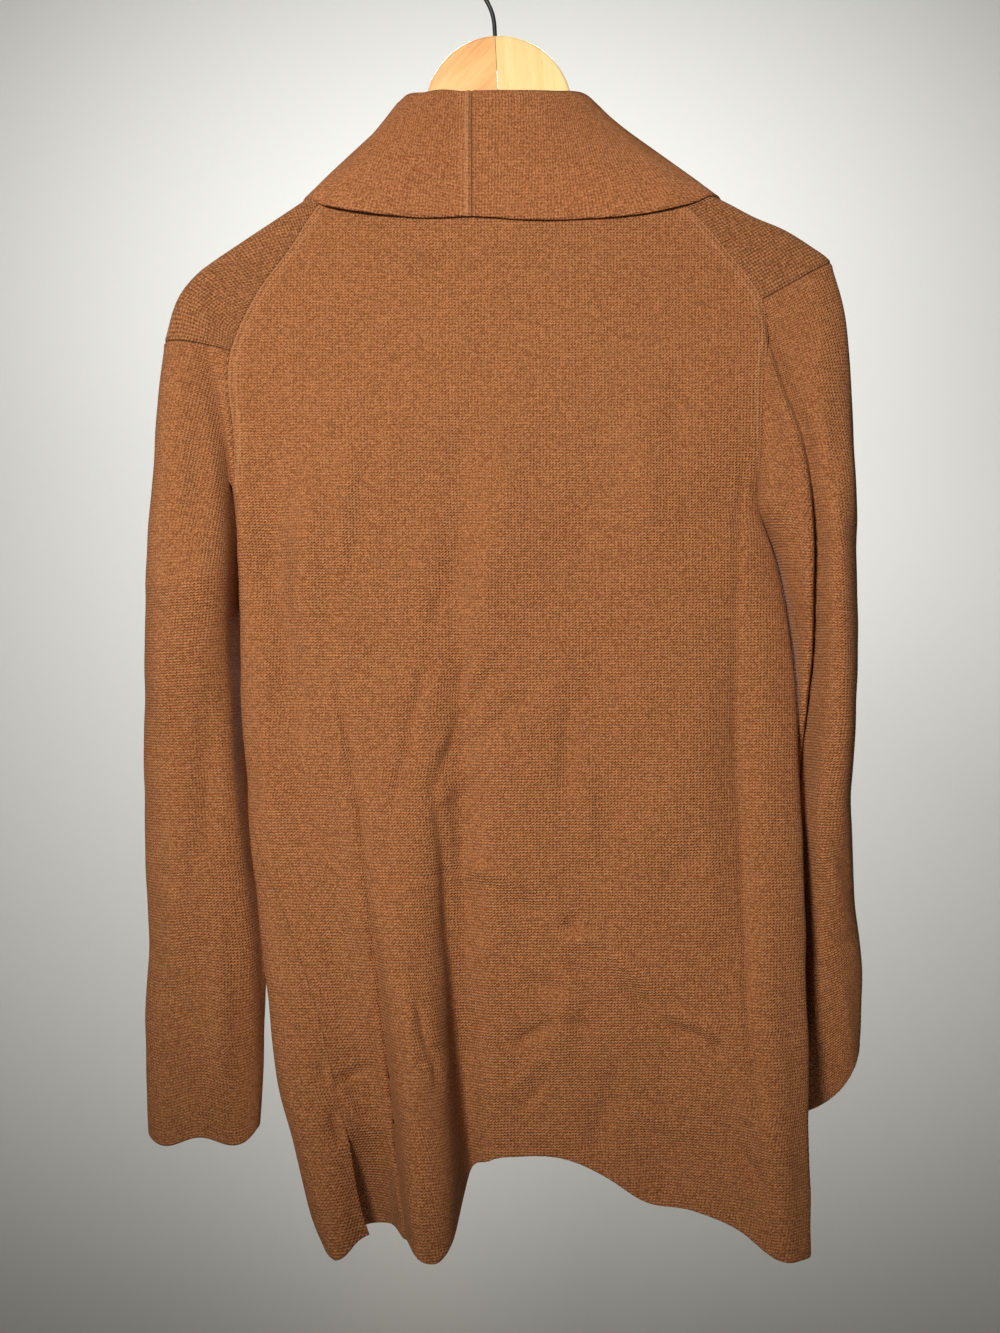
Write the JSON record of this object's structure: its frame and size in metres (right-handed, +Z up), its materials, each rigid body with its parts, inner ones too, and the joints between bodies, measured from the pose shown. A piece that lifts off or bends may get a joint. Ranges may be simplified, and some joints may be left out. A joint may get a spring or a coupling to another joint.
{
  "type": "knit blazer on a wooden hanger",
  "caption": "Long-sleeved open knit blazer with a shawl collar, seamed shoulder strips and side vents, hung on a flat wooden hanger with a wire hook.",
  "frame": {"origin": "the inside top of the hook's loop, where a rail carries it", "axes": "+Z up, +X towards the wearer's left, the garment's front faces -Y and its back faces +Y"},
  "size_m": [0.5014, 0.129, 0.9017],
  "materials": {
    "knit": "matt heathered jersey knit",
    "saddle_knit": "matt firm ribbed knit",
    "collar_knit": "matt ribbed knit",
    "wood_left": "satin lacquered light wood",
    "wood_right": "satin lacquered pale wood",
    "hook_wire": "black, satin"
  },
  "bodies": {
    "root": {"back": "knit", "left_front": "knit", "right_front": "knit", "left_sleeve": "knit", "right_sleeve": "knit", "left_saddle": "saddle_knit", "right_saddle": "saddle_knit", "collar_left": "collar_knit", "collar_right": "collar_knit", "hanger_left": "wood_left", "hanger_right": "wood_right", "hook": "hook_wire"}
  },
  "joints": []
}
